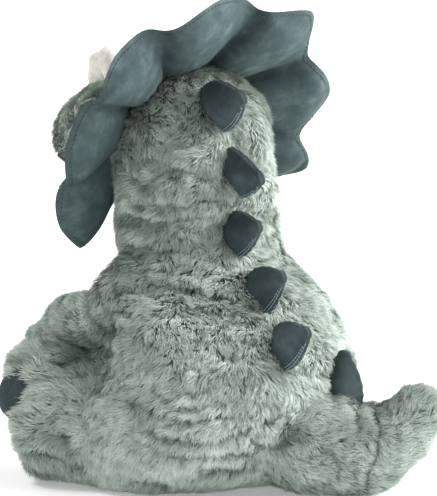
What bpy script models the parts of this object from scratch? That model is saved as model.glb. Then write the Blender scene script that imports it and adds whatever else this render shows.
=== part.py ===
"""Stuffed triceratops sitting on the floor. Metres, +Z up, the face towards -Y, its left side +X.

The origin is on the flat seat panel, on the floor. Every plush form is a skin (backing and pile)
around a core of stuffing. The limbs, the neck and the tail start in a ball that is centred on their
joint, and the torso has a pocket for each ball.
"""

import math

import bmesh
import bpy
import numpy as np
from mathutils import Matrix, Vector

# ---------------------------------------------------------------- driving dimensions
SKIN = 0.008  # backing and pile together
GAP = 0.0005  # between touching pieces
SWEEP_GAP = 0.0018  # round a limb at the ends of its range, so that it clears in between
SEAM = 0.0003  # between two panels of one skin
RING = 16  # points round a form
SMALL_RING = 10  # points round a spike or a horn
STEP = 0.024  # between the rings of a form
CAP_RINGS = 3  # rings in a rounded end
BALL = 16  # segments round a ball
FLOOR = 0.0

# Torso sections: height, centre in Y, half width in X, half depth in Y.
TORSO = (
    (0.000, -0.012, 0.066, 0.040),
    (0.008, -0.004, 0.082, 0.058),
    (0.022, 0.006, 0.094, 0.075),
    (0.046, 0.014, 0.098, 0.086),
    (0.072, 0.015, 0.097, 0.087),
    (0.094, 0.014, 0.093, 0.087),
    (0.112, 0.011, 0.087, 0.082),
    (0.128, 0.006, 0.080, 0.073),
    (0.142, 0.000, 0.070, 0.063),
    (0.158, -0.008, 0.060, 0.055),
    (0.172, -0.014, 0.055, 0.051),
    (0.186, -0.018, 0.053, 0.049),
)
SEAT_PANEL = 0.006
PELLET_BAG = ((0.003, 0.004, 0.0225), (0.031, 0.031, 0.015))  # centre, half axes
BAG_MOUTH = 0.020  # radius of the gap in the stuffing that the pellet bag goes in by

NECK_PIVOT = Vector((0.0, -0.018, 0.184))
TURN_RANGE = (-20, 20)  # of the neck, in degrees
NOD_BACK = -6  # how far the head tips back, in degrees
NECK_BALL = 0.040
NECK_WALL = 0.007
HEAD_BOTTOM = 0.198

# The head leans to its left: everything on it is placed in a frame turned about Y.
HEAD_CENTRE = Vector((0.0, -0.030, 0.236))
HEAD_LEAN = math.radians(11)
# Head sections, from the nape to the nose: Y from the head centre, height, half width, half height.
HEAD = (
    (0.040, 0.000, 0.037, 0.037),
    (0.022, 0.000, 0.053, 0.052),
    (0.000, 0.000, 0.058, 0.057),
    (-0.028, 0.000, 0.056, 0.054),
    (-0.056, 0.000, 0.051, 0.046),
    (-0.084, -0.001, 0.049, 0.038),
    (-0.106, -0.003, 0.042, 0.031),
)
HEAD_END = 0.018  # depth of the rounded nape and nose
SKIRT = ((0.180, 0.054, 0.050), (0.215, 0.056, 0.052), (0.240, 0.050, 0.046))  # height, half axes
SKIRT_Y = -0.020

FRILL_CENTRE = Vector((0.0, 0.006, 0.004))  # from the head centre
FRILL_TILT = math.radians(30)  # back from upright
# The seams between the panels, round from its left: angle, and radius of the rim there.
FRILL_SEAMS = (
    (-42, 0.100),
    (-7, 0.107),
    (34, 0.112),
    (71, 0.110),
    (114, 0.106),
    (157, 0.102),
    (200, 0.103),
    (222, 0.100),
)
FRILL_POINTS = (0.117, 0.124, 0.131, 0.116, 0.121, 0.113, 0.119)  # radius at each panel's point
FRILL_INNER = 0.050
FRILL_SEAM_R = 0.106
FRILL_LAYER = 0.002
FRILL_WADDING = 0.005
FRILL_TWIST = 0.006  # how far the rim comes forward at its upper left, and back opposite
FRILL_TWIST_AT = math.radians(50)

ARM_PIVOT = Vector((0.052, -0.014, 0.144))
ARM = (
    (0.052, -0.014, 0.144, 0.0245),
    (0.065, -0.022, 0.131, 0.0250),
    (0.073, -0.038, 0.122, 0.0240),
    (0.070, -0.060, 0.117, 0.0220),
    (0.060, -0.086, 0.107, 0.0190),
    (0.052, -0.111, 0.094, 0.0180),
    (0.049, -0.132, 0.083, 0.0175),
)
ARM_RANGE = (0, 20)  # degrees about X, from the foot that it lies on, forward and up

LEG_SPLAY = math.radians(35)  # from straight ahead
LEG_ROOT = Vector((0.042, 0.0, 0.0))
LEG_PIVOT_AT = 0.036  # along the leg from its root
# Leg sections: distance along the leg, height, half width, half height.
LEG = (
    (0.036, 0.038, 0.038, 0.038),
    (0.054, 0.040, 0.041, 0.041),
    (0.072, 0.047, 0.047, 0.048),
    (0.086, 0.046, 0.047, 0.047),
)
SOLE_DEPTH = 0.017
LEG_RANGE = (0, 8)
# Claws: across the foot, height, and the way each one points sideways.
CLAWS = {"outer": (0.031, 0.066, 0.5), "middle": (0.0, 0.075, 0.0), "inner": (-0.031, 0.066, -0.5)}
CLAW_AT = 0.092
CLAW_AXES = (0.0135, 0.0150, 0.0195)  # across, along, up
CLAW_LEAN = math.radians(-24)

TAIL_PIVOT = Vector((-0.029, 0.084, 0.038))
TAIL = (
    (-0.029, 0.084, 0.038, 0.038),
    (-0.041, 0.093, 0.036, 0.037),
    (-0.055, 0.104, 0.034, 0.035),
    (-0.075, 0.118, 0.043, 0.028),
    (-0.088, 0.127, 0.058, 0.020),
)
TAIL_RANGE = (-12, 12)

SPIKE_BASE = 0.0165  # half the width of a spike along the spine
SPIKE_THICK = 0.0105  # half its thickness
SPIKE_LENGTH = 0.036
SPIKE_SINK = 0.006
# Spikes: the root point and the direction of each, in the plane X = 0 of what carries it.
# On the head: root's angle above +Y, its distance, and the angle that the spike points at.
HEAD_SPIKES = {"spike_1": (31, 0.059, 26), "spike_2": (-15, 0.055, -2)}
HEAD_SPIKE_SCALE = 1.12
TORSO_SPIKES = {
    "spike_3": ((0.0, 0.034, 0.180), 24),
    "spike_4": ((0.0, 0.066, 0.145), 33),
    "spike_5": ((0.0, 0.097, 0.111), 32),
}
TAIL_SPIKE = ((-0.050, 0.098, 0.070), (-0.15, 0.12, 1.0))

HORN_BROW = ((0.014, -0.050, 0.042), (0.20, -0.30, 1.0), 0.0110, 0.021)  # root, way, radius, length
HORN_NOSE = ((0.0, -0.096, 0.031), (0.0, -0.22, 1.0), 0.0115, 0.016)

EYE_AT = (-0.066, 40)  # Y from the head centre, degrees above the side
EYE_R = 0.0075
EYE_HEIGHT = 0.0048
STEM_R, STEM_LENGTH = 0.0022, 0.015
WASHER_R, WASHER_THICK = 0.0085, 0.0018
WASHER_BEHIND = 0.0026  # from the hollow of the skin, which curves away from a flat washer
NOSTRIL_AT = (52, 40)  # degrees round the nose's end, degrees above the side
NOSTRIL_AXES = (0.0038, 0.0026, 0.0024)
MOUTH_FROM_TO = (-0.072, -0.104)
MOUTH_SIDE = -20  # degrees above the side
STITCH_R = 0.0011

COLOURS = {
    "plush_fur": ((0.38, 0.46, 0.40), 0.95),
    "velour": ((0.11, 0.17, 0.18), 0.85),
    "velour_dark": ((0.055, 0.090, 0.105), 0.85),
    "horn_plush": ((0.70, 0.66, 0.61), 0.9),
    "stuffing": ((0.85, 0.85, 0.84), 1.0),
    "pellet_cloth": ((0.55, 0.53, 0.50), 0.9),
    "eye": ((0.010, 0.008, 0.007), 0.08),
    "washer": ((0.75, 0.75, 0.73), 0.5),
    "stitching": ((0.03, 0.045, 0.05), 0.8),
}


# ---------------------------------------------------------------- scene and helpers
for old in list(bpy.data.objects):
    bpy.data.objects.remove(old)

parts = bpy.data.collections.new("stuffed_dinosaur")
cutters = bpy.data.collections.new("cutters")
cutters.hide_render = True
for group in (parts, cutters):
    bpy.context.scene.collection.children.link(group)


def material(name):
    """The Principled material of one slot, made on first use."""
    made = bpy.data.materials.get(name)
    if made:
        return made
    colour, rough = COLOURS[name]
    made = bpy.data.materials.new(name)
    made.use_nodes = True
    shader = made.node_tree.nodes["Principled BSDF"]
    shader.inputs["Base Color"].default_value = (*colour, 1.0)
    shader.inputs["Roughness"].default_value = rough
    shader.inputs["Metallic"].default_value = 0.0
    return made


def add(name, bm, slot=None, place=None):
    """A new object from a bmesh: a part when it has a slot, otherwise a hidden cutter."""
    bmesh.ops.recalc_face_normals(bm, faces=bm.faces)
    mesh = bpy.data.meshes.new(name)
    bm.to_mesh(mesh)
    bm.free()
    obj = bpy.data.objects.new(name, mesh)
    if place is not None:
        obj.matrix_world = place
    if slot:
        mesh.materials.append(material(slot))
        mesh.shade_smooth()
        mesh.set_sharp_from_angle(angle=math.radians(40))
        parts.objects.link(obj)
    else:
        obj.hide_render = True
        obj.display_type = "WIRE"
        cutters.objects.link(obj)
    return obj


def boolean(obj, other, operation):
    """Every form here is closed, and the exact solver leaves open edges between the nested ones."""
    step = obj.modifiers.new(operation.lower() + "_" + other.name, "BOOLEAN")
    step.operation = operation
    step.solver = "MANIFOLD"
    step.object = other


def cut(obj, *others):
    for other in others:
        boolean(obj, other, "DIFFERENCE")


def spline_rows(rows, step):
    """Rows along a smooth Catmull-Rom curve through the given rows, about a step apart."""
    rows = np.array(rows, float)
    ends = np.vstack([2 * rows[0] - rows[1], rows, 2 * rows[-1] - rows[-2]])
    out = []
    for k in range(len(rows) - 1):
        a, b, c, d = ends[k : k + 4]
        count = max(1, round(float(np.linalg.norm(c[:3] - b[:3])) / step))
        for t in np.arange(count) / count:
            out.append(
                0.5
                * (2 * b + (c - a) * t + (2 * a - 5 * b + 4 * c - d) * t**2 + (3 * b - a - 3 * c + d) * t**3)
            )
    out.append(rows[-1])
    return np.array(out)


def ring_axes(rows, side, up):
    """The two axes of every ring: fixed ones, or square to the path with the first one level."""
    if side is not None:
        return [(Vector(side), Vector(up), Vector(side).cross(Vector(up)))] * len(rows)
    axes = []
    for way in np.gradient(rows[:, :3], axis=0):
        along = Vector(way).normalized()
        across = along.cross(Vector((0, 0, 1))).normalized()
        axes.append((across, across.cross(along), along))
    return axes


def form(
    rows,
    grow=0.0,
    side=None,
    up=None,
    start=None,
    end=None,
    start_flat=0.0,
    end_flat=0.0,
    ring=RING,
):
    """A closed bmesh lofted through elliptical rings.

    Each row is x, y, z, half width, half height. An end is a rounded cap of the given depth, or a
    flat face that lies start_flat or end_flat beyond its ring.
    """
    rows = np.array(rows, float)
    axes = ring_axes(rows, side, up)
    rings = []
    for row, (across, upward, along) in zip(rows, axes):
        rings.append((Vector(row[:3]), across, upward, row[3] + grow, row[4] + grow))

    def ending(ring, along, sign, depth, flat):
        centre, across, upward, wide, high = ring
        if depth is None:
            moved = centre + along * (sign * flat)
            return ([(moved, across, upward, wide, high)] if flat else []), None
        reach = depth + grow
        made = []
        for k in range(1, CAP_RINGS):
            turn = math.pi / 2 * k / CAP_RINGS
            at = centre + along * (sign * reach * math.sin(turn))
            made.append((at, across, upward, wide * math.cos(turn), high * math.cos(turn)))
        return made, centre + along * (sign * reach)

    # With fixed axes the rings are stacked against or along side x up.
    first, last = axes[0][2], axes[-1][2]
    if side is not None:
        heading = Vector(rows[-1][:3] - rows[0][:3])
        turned = 1 if heading.dot(first) > 0 else -1
        first = last = first * turned
    before, low_pole = ending(rings[0], first, -1, start, start_flat)
    after, high_pole = ending(rings[-1], last, 1, end, end_flat)
    rings = before[::-1] + rings + after

    bm = bmesh.new()
    loops = []
    for centre, across, upward, wide, high in rings:
        loop = []
        for k in range(ring):
            turn = 2 * math.pi * k / ring
            loop.append(
                bm.verts.new(centre + across * (wide * math.cos(turn)) + upward * (high * math.sin(turn)))
            )
        loops.append(loop)
    for below, above in zip(loops, loops[1:]):
        for k in range(ring):
            j = (k + 1) % ring
            bm.faces.new((below[k], below[j], above[j], above[k]))
    for loop, pole in ((loops[0], low_pole), (loops[-1], high_pole)):
        if pole is None:
            bm.faces.new(loop)
            continue
        tip = bm.verts.new(pole)
        for k in range(ring):
            bm.faces.new((loop[k], loop[(k + 1) % ring], tip))
    return bm


def round_clear(radius):
    """The radius of a faceted ball that a ball of the given radius turns in freely."""
    return (radius + GAP) / math.cos(math.pi / BALL) ** 2


def ball(radius, centre=(0, 0, 0), segments=BALL, axes=(1, 1, 1)):
    bm = bmesh.new()
    bmesh.ops.create_uvsphere(bm, u_segments=segments, v_segments=segments // 2, radius=radius)
    bmesh.ops.scale(bm, vec=axes, verts=bm.verts)
    bmesh.ops.translate(bm, vec=centre, verts=bm.verts)
    return bm


def block(low, high):
    bm = bmesh.new()
    bmesh.ops.create_cube(bm, size=1.0)
    size = Vector(high) - Vector(low)
    bmesh.ops.scale(bm, vec=size, verts=bm.verts)
    bmesh.ops.translate(bm, vec=(Vector(low) + Vector(high)) / 2, verts=bm.verts)
    return bm


def disc(radius, thick, segments=16):
    """A cylinder on Z, standing on z = 0."""
    bm = bmesh.new()
    bmesh.ops.create_cone(
        bm, cap_ends=True, segments=segments, radius1=radius, radius2=radius, depth=thick
    )
    bmesh.ops.translate(bm, vec=(0, 0, thick / 2), verts=bm.verts)
    return bm


def facing(at, way, roll_to=(0, 1, 0)):
    """A placement whose Z axis points the given way, with Y as near as it can be to roll_to."""
    z = Vector(way).normalized()
    x = Vector(roll_to).cross(z).normalized()
    y = z.cross(x)
    turn = Matrix((x, y, z)).transposed().to_4x4()
    return Matrix.Translation(Vector(at)) @ turn


def mirrored(bm):
    bmesh.ops.scale(bm, vec=(-1, 1, 1), verts=bm.verts)
    bmesh.ops.reverse_faces(bm, faces=bm.faces)
    return bm


def turned(bm, degrees, axis, about):
    turn = Matrix.Rotation(math.radians(degrees), 3, Vector(axis))
    bmesh.ops.rotate(bm, cent=Vector(about), matrix=turn, verts=bm.verts)
    return bm


BIG = 1.0
below_floor = add("cut_below_floor", block((-BIG, -BIG, -BIG), (BIG, BIG, FLOOR)))
right_half = add("cut_right_half", block((-BIG, -BIG, -BIG), (SEAM / 2, BIG, BIG)))
left_half = add("cut_left_half", block((-SEAM / 2, -BIG, -BIG), (BIG, BIG, BIG)))


# ---------------------------------------------------------------- forms of the limbs
def root_end(root, radius):
    """How a limb's form starts: as a ball on its joint, run on past it, or flat at the joint."""
    return {
        "ball": {"start": radius},
        "open": {"start_flat": radius * 1.5},
        "flat": {},
    }[root]


def arm_form(side, grow=0.0, degrees=0.0, root="ball"):
    rows = spline_rows([(*row, row[3]) for row in ARM], STEP)
    bm = form(rows, grow, **root_end(root, ARM[0][3]), end=ARM[-1][3])
    # Forward and up is a negative turn about X.
    turned(bm, -degrees, (1, 0, 0), ARM_PIVOT)
    return bm if side == "left" else mirrored(bm)


def leg_way():
    return Vector((math.sin(LEG_SPLAY), -math.cos(LEG_SPLAY), 0))


def leg_across():
    return Vector((math.cos(LEG_SPLAY), math.sin(LEG_SPLAY), 0))


def leg_point(along, across, height):
    at = LEG_ROOT + leg_way() * along + leg_across() * across
    return Vector((at.x, at.y, height))


LEG_PIVOT = leg_point(LEG_PIVOT_AT, 0, LEG[0][1])


def leg_form(side, grow=0.0, degrees=0.0, root="ball"):
    rows = [(*leg_point(along, 0, height), wide, high) for along, height, wide, high in LEG]
    bm = form(spline_rows(rows, STEP), grow, **root_end(root, LEG[0][2]), end=SOLE_DEPTH)
    # The foot slides outwards over the floor.
    turned(bm, degrees, (0, 0, 1), LEG_PIVOT)
    return bm if side == "left" else mirrored(bm)


def tail_form(grow=0.0, degrees=0.0, root="ball"):
    rows = spline_rows([(*row, row[3]) for row in TAIL], STEP)
    bm = form(rows, grow, **root_end(root, TAIL[0][3]), end=TAIL[-1][3])
    return turned(bm, degrees, (0, 0, 1), TAIL_PIVOT)


def limb(name, shape, *args):
    """The skin and the stuffing of a limb. The skin is open where the limb is sewn on."""
    skin = add(name + "_skin", shape(*args), "plush_fur")
    hollow = add("cut_" + name + "_hollow", shape(*args, grow=-SKIN, root="open"))
    cut(skin, hollow, below_floor)
    stuffing = add(name + "_stuffing", shape(*args, grow=-SKIN - GAP, root="open"), "stuffing")
    outside = add("keep_" + name + "_outside", shape(*args, grow=-GAP))
    boolean(stuffing, outside, "INTERSECT")
    return skin, stuffing


def limb_pockets(name, shape, pivot, radius, angles, *args):
    """Cutters that clear the root ball, and the limb at the ends of its range."""
    room = [add(f"cut_{name}_ball", ball(round_clear(radius), pivot))]
    return room + [
        add(f"cut_{name}_room_{k}", shape(*args, grow=SWEEP_GAP, degrees=angle, root="flat"))
        for k, angle in enumerate(angles)
    ]


pockets = limb_pockets("tail", tail_form, TAIL_PIVOT, TAIL[0][3], TAIL_RANGE)
for side, mirror in (("left", 1), ("right", -1)):
    limb("arm_" + side, arm_form, side)
    limb("leg_" + side, leg_form, side)
    shoulder = (ARM_PIVOT.x * mirror, ARM_PIVOT.y, ARM_PIVOT.z)
    hip = (LEG_PIVOT.x * mirror, LEG_PIVOT.y, LEG_PIVOT.z)
    pockets += limb_pockets("arm_" + side, arm_form, shoulder, ARM[0][3], ARM_RANGE, side)
    pockets += limb_pockets("leg_" + side, leg_form, hip, LEG[0][2], LEG_RANGE, side)
limb("tail", tail_form)


# ---------------------------------------------------------------- torso
def torso_form(grow=0.0, above=0.0, below=0.0):
    rows = spline_rows([(0, y, z, wide, deep) for z, y, wide, deep in TORSO], STEP)
    return form(rows, grow, side=(1, 0, 0), up=(0, 1, 0), start_flat=below, end_flat=above)


neck_clear = add("cut_neck_ball", ball(round_clear(NECK_BALL), NECK_PIVOT))
torso_hollow = add("cut_torso_hollow", torso_form(-SKIN, above=0.03, below=0.03))
for side, other_half in (("left", right_half), ("right", left_half)):
    panel = add("torso_skin_" + side, torso_form(), "plush_fur")
    cut(panel, torso_hollow, other_half, neck_clear, *pockets)

torso_core = add("torso_stuffing", torso_form(-SKIN - GAP), "stuffing")
bag_centre, bag_axes = PELLET_BAG
seat_clear = add("cut_seat_panel", block((-BIG, -BIG, -BIG), (BIG, BIG, SEAT_PANEL + GAP)))
bag_mouth_rows = [(bag_centre[0], bag_centre[1], z, BAG_MOUTH, BAG_MOUTH) for z in (0, bag_centre[2])]
bag_mouth = add("cut_bag_mouth", form(bag_mouth_rows, side=(1, 0, 0), up=(0, 1, 0)))
bag_clear_axes = [axis + GAP for axis in bag_axes]
bag_clear = add("cut_pellet_bag", ball(1.0, bag_centre, axes=bag_clear_axes))
cut(torso_core, seat_clear, bag_clear, bag_mouth, neck_clear, *pockets)

seat_panel = add("seat_panel", torso_form(-SKIN - 2 * GAP), "plush_fur")
cut(seat_panel, add("cut_above_seat_panel", block((-BIG, -BIG, SEAT_PANEL), (BIG, BIG, BIG))))
cut(seat_panel, *pockets)
add("pellet_bag", ball(1.0, bag_centre, axes=bag_axes), "pellet_cloth")


# ---------------------------------------------------------------- neck
neck_skin = add("neck_skin", ball(NECK_BALL, NECK_PIVOT), "plush_fur")
neck_hollow = add("cut_neck_hollow", ball(NECK_BALL - NECK_WALL, NECK_PIVOT))
neck_mouth = form(
    [(*(NECK_PIVOT - Vector((0, 0, z))), 0.022, 0.022) for z in (0.060, 0.0)],
    side=(1, 0, 0),
    up=(0, 1, 0),
)
cut(neck_skin, neck_hollow, add("cut_neck_mouth", neck_mouth))
add("neck_stuffing", ball(NECK_BALL - NECK_WALL - GAP, NECK_PIVOT), "stuffing")


# ---------------------------------------------------------------- head
head_frame = bpy.data.objects.new("head_frame", None)
head_frame.matrix_world = Matrix.Translation(HEAD_CENTRE) @ Matrix.Rotation(HEAD_LEAN, 4, "Y")
parts.objects.link(head_frame)
HEAD_PLACE = head_frame.matrix_world.copy()


def head_rows():
    return spline_rows([(0, y, z, wide, high) for y, z, wide, high in HEAD], STEP)


def head_form(grow=0.0):
    bm = form(head_rows(), grow, side=(1, 0, 0), up=(0, 0, 1), start=HEAD_END, end=HEAD_END)
    bm.transform(HEAD_PLACE)
    return bm


def skirt_form(grow=0.0, below=0.0):
    rows = [(0, SKIRT_Y, z, wide, deep) for z, wide, deep in SKIRT]
    return form(rows, grow, side=(1, 0, 0), up=(0, 1, 0), start_flat=below)


def head_surface(y, degrees):
    """A point on the head in its own frame, with the section's half axes there and the angle."""
    rows = head_rows()
    order = np.argsort(rows[:, 1])
    height, wide, high = (np.interp(y, rows[order, 1], rows[order, k]) for k in (2, 3, 4))
    turn = math.radians(degrees)
    at = Vector((wide * math.cos(turn), y, height + high * math.sin(turn)))
    return at, wide, high, turn


def head_point(y, degrees, lift=0.0):
    """A point on the head, lifted along its outward direction, and that direction."""
    at, wide, high, turn = head_surface(y, degrees)
    ahead = head_surface(y - 0.004, degrees)[0] - head_surface(y + 0.004, degrees)[0]
    around = Vector((-wide * math.sin(turn), 0, high * math.cos(turn)))
    out = ahead.cross(around).normalized()
    if out.x * at.x < 0:
        out.negate()
    return at + out * lift, out


def head_solid(name, grow, slot=None):
    """The whole head: the skull and muzzle loft joined to the skirt over the neck."""
    whole = add(name, head_form(grow), slot)
    skirt = add("join_skirt_" + name, skirt_form(grow, 0.03 if grow < 0 else 0.0))
    boolean(whole, skirt, "UNION")
    return whole


head_hollow = head_solid("cut_head_hollow", -SKIN)
head_clear = head_solid("cut_head_clear", GAP)
under_head = add("cut_under_head", block((-BIG, -BIG, -BIG), (BIG, BIG, HEAD_BOTTOM)))

eye_places = {}
eye_holes = []
washer_rooms = []
for side, mirror in (("left", 1), ("right", -1)):
    at, out = head_point(*EYE_AT)
    at.x *= mirror
    out.x *= mirror
    eye_places[side] = HEAD_PLACE @ facing(at, out)
    stem = disc(STEM_R + GAP, 0.030)
    bmesh.ops.translate(stem, vec=(0, 0, -0.026), verts=stem.verts)
    eye_holes.append(add("cut_eye_stem_" + side, stem, place=eye_places[side]))
    room = disc(WASHER_R + GAP, WASHER_THICK + 0.006)
    bmesh.ops.translate(room, vec=(0, 0, -SKIN - WASHER_THICK - WASHER_BEHIND - GAP), verts=room.verts)
    washer_rooms.append(add("cut_washer_room_" + side, room, place=eye_places[side]))

for side, low, high in (("left", -BIG, SEAM / 2), ("right", -SEAM / 2, BIG)):
    other_half = block((low, -BIG, -BIG), (high, BIG, BIG))
    other_half = add("cut_head_other_half_" + side, other_half, place=HEAD_PLACE)
    panel = head_solid("head_skin_" + side, 0.0, "plush_fur")
    cut(panel, head_hollow, under_head, other_half, neck_clear, *eye_holes)

head_core = head_solid("head_stuffing", -SKIN - 2 * GAP, "stuffing")
cut(head_core, under_head, neck_clear, *washer_rooms, *eye_holes)

for side, place in eye_places.items():
    # The dome is turned from a quarter ellipse, and the stem is part of it.
    dome = ball(1.0, axes=(EYE_R, EYE_R, EYE_HEIGHT))
    bmesh.ops.translate(dome, vec=(0, 0, 0.0012), verts=dome.verts)
    eye = add("eye_" + side, dome, "eye", place)
    cut(eye, head_clear)
    stem = disc(STEM_R, STEM_LENGTH, 10)
    bmesh.ops.translate(stem, vec=(0, 0, 0.003 - STEM_LENGTH), verts=stem.verts)
    boolean(eye, add("join_eye_stem_" + side, stem, place=place), "UNION")
    ring = disc(WASHER_R, WASHER_THICK)
    bmesh.ops.translate(ring, vec=(0, 0, -SKIN - WASHER_THICK - WASHER_BEHIND), verts=ring.verts)
    washer = add("eye_washer_" + side, ring, "washer", place)
    cut(washer, bpy.data.objects["cut_eye_stem_" + side])


def nose_surface(round_end, degrees):
    """A point on the rounded end of the muzzle and its outward direction."""
    y, height, wide, high = HEAD[-1]
    round_end = math.radians(round_end)
    turn = math.radians(degrees)
    unit = Vector(
        (
            math.cos(round_end) * math.cos(turn),
            -math.sin(round_end),
            math.cos(round_end) * math.sin(turn),
        )
    )
    at = Vector((unit.x * wide, y + unit.y * HEAD_END, height + unit.z * high))
    return at, Vector((unit.x / wide, unit.y / HEAD_END, unit.z / high)).normalized()


for side, mirror in (("left", 1), ("right", -1)):
    at, out = nose_surface(*NOSTRIL_AT)
    at.x *= mirror
    out.x *= mirror
    nostril = add(
        "nostril_" + side,
        ball(1.0, segments=10, axes=NOSTRIL_AXES),
        "stitching",
        HEAD_PLACE @ facing(at, out),
    )
    cut(nostril, head_clear)


def mouth_route():
    """Points of the mouth stitch, from the left cheek round under the nose to the right cheek."""
    first, last = MOUTH_FROM_TO
    lift = STITCH_R + 2 * GAP
    left = [head_point(y, MOUTH_SIDE, lift)[0] for y in np.linspace(first, last, 4)]
    corner = left[-1]
    deep = HEAD_END * math.cos(math.radians(MOUTH_SIDE)) + lift
    for k in range(1, 5):
        turn = math.pi / 2 * k / 5
        left.append(Vector((corner.x * math.cos(turn), corner.y - deep * math.sin(turn), corner.z)))
    middle = Vector((0, corner.y - deep, corner.z))
    return left + [middle] + [Vector((-p.x, p.y, p.z)) for p in reversed(left)]


stitch_line = bpy.data.curves.new("mouth_line", "CURVE")
stitch_line.dimensions = "3D"
stitch_line.bevel_depth = STITCH_R
stitch_line.bevel_resolution = 1
stitch_line.use_fill_caps = True
route = mouth_route()
mouth_spline = stitch_line.splines.new("POLY")
mouth_spline.points.add(len(route) - 1)
for point, at in zip(mouth_spline.points, route):
    point.co = (*at, 1)
guide = bpy.data.objects.new("mouth_line", stitch_line)
guide.matrix_world = HEAD_PLACE
cutters.objects.link(guide)
bpy.context.view_layer.update()
drawn = bpy.data.meshes.new_from_object(guide.evaluated_get(bpy.context.evaluated_depsgraph_get()))
mouth_mesh = bmesh.new()
mouth_mesh.from_mesh(drawn)
bmesh.ops.remove_doubles(mouth_mesh, verts=mouth_mesh.verts, dist=1e-5)
bpy.data.objects.remove(guide)
bpy.data.meshes.remove(drawn)
mouth = add("mouth_stitch", mouth_mesh, "stitching", HEAD_PLACE)
cut(mouth, head_clear)


def horn(name, place, radius, length):
    shape = ((-0.7, 1.1), (0.2, 0.98), (0.65, 0.82), (1.0, 0.6))
    rows = [(0, 0, z * length, radius * r, radius * r) for z, r in shape]
    bm = form(rows, side=(1, 0, 0), up=(0, 1, 0), end=radius * 0.55, ring=SMALL_RING)
    cut(add(name, bm, "horn_plush", HEAD_PLACE @ place), head_clear)


root, way, radius, length = HORN_BROW
for side, mirror in (("left", 1), ("right", -1)):
    at = Vector((root[0] * mirror, root[1], root[2]))
    horn("brow_horn_" + side, facing(at, (way[0] * mirror, way[1], way[2])), radius, length)
root, way, radius, length = HORN_NOSE
horn("nose_horn", facing(root, way), radius, length)


# ---------------------------------------------------------------- frill
def frill_radius(turn):
    """The scalloped rim: pulled in at every seam, drawn out to a blunt point between them."""
    for (low, low_r), (high, high_r), point_r in zip(FRILL_SEAMS, FRILL_SEAMS[1:], FRILL_POINTS):
        if turn <= math.radians(high) + 1e-9:
            break
    within = (math.degrees(turn) - low) / (high - low)
    seam_r = low_r + (high_r - low_r) * within
    return seam_r + (point_r - seam_r) * (1 - abs(2 * within - 1) ** 1.4)


def frill_sheet(front, thick, trim):
    """One layer: an annular sector from front to front + thick, trimmed at the rim and the ends."""
    spare = trim / FRILL_SEAM_R
    turns = []
    for (start, _), (stop, _) in zip(FRILL_SEAMS, FRILL_SEAMS[1:]):
        turns += list(np.radians(np.linspace(start, stop, 4, endpoint=False)))
    turns.append(math.radians(FRILL_SEAMS[-1][0]))
    turns[0] += spare
    turns[-1] -= spare
    shares = np.linspace(0, 1, 4)
    bm = bmesh.new()
    faces_of = []
    for level in (front, front + thick):
        grid = []
        for turn in turns:
            row = []
            for share in shares:
                r = FRILL_INNER + (frill_radius(turn) - trim - FRILL_INNER) * share
                out = (r - FRILL_INNER) / (FRILL_SEAM_R - FRILL_INNER)
                back = -FRILL_TWIST * out * math.cos(turn - FRILL_TWIST_AT)
                row.append(bm.verts.new((r * math.cos(turn), level + back, r * math.sin(turn))))
            grid.append(row)
        faces_of.append(grid)
    low, high = faces_of
    for i in range(len(turns) - 1):
        for j in range(len(shares) - 1):
            bm.faces.new((low[i][j], low[i + 1][j], low[i + 1][j + 1], low[i][j + 1]))
            bm.faces.new((high[i][j], high[i][j + 1], high[i + 1][j + 1], high[i + 1][j]))
        for j in (0, -1):
            bm.faces.new((low[i][j], high[i][j], high[i + 1][j], low[i + 1][j]))
    for i in (0, -1):
        for j in range(len(shares) - 1):
            bm.faces.new((low[i][j], low[i][j + 1], high[i][j + 1], high[i][j]))
    return bm


frill_place = (
    HEAD_PLACE @ Matrix.Translation(FRILL_CENTRE) @ Matrix.Rotation(-FRILL_TILT, 4, "X")
)
wadding_front = -FRILL_WADDING / 2
layers = {
    "frill_wadding": (wadding_front, FRILL_WADDING, 0.004, "stuffing"),
    "frill_front_layer": (wadding_front - GAP - FRILL_LAYER, FRILL_LAYER, 0.0, "velour"),
    "frill_back_layer": (-wadding_front + GAP, FRILL_LAYER, 0.0, "velour"),
}
for name, (front, thick, trim, slot) in layers.items():
    cut(add(name, frill_sheet(front, thick, trim), slot, frill_place), head_clear)


# ---------------------------------------------------------------- spikes and claws
def spike(name, place, clear):
    """A blunt padded spike. Its Z is its way out, its Y runs along the spine."""
    shape = ((-0.3, 1.0), (0.1, 0.98), (0.4, 0.84), (0.68, 0.60), (0.86, 0.38))
    rows = [
        (0, 0, z * SPIKE_LENGTH, SPIKE_THICK * r, SPIKE_BASE * r) for z, r in shape
    ]
    bm = form(rows, side=(1, 0, 0), up=(0, 1, 0), end=SPIKE_LENGTH * 0.14, ring=SMALL_RING)
    cut(add(name, bm, "velour_dark", place), *clear)


torso_clear = add("cut_torso_clear", torso_form(GAP))
# Room for the nape when the head is tipped back, with the neck straight and turned.
nape_rooms = []
for turn in (0, *TURN_RANGE):
    for kind, shape in (("nape", head_form), ("skirt", skirt_form)):
        bm = turned(shape(SWEEP_GAP), NOD_BACK, (1, 0, 0), NECK_PIVOT)
        nape_rooms.append(add(f"cut_{kind}_room_{turn}", turned(bm, turn, (0, 0, 1), NECK_PIVOT)))
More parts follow.
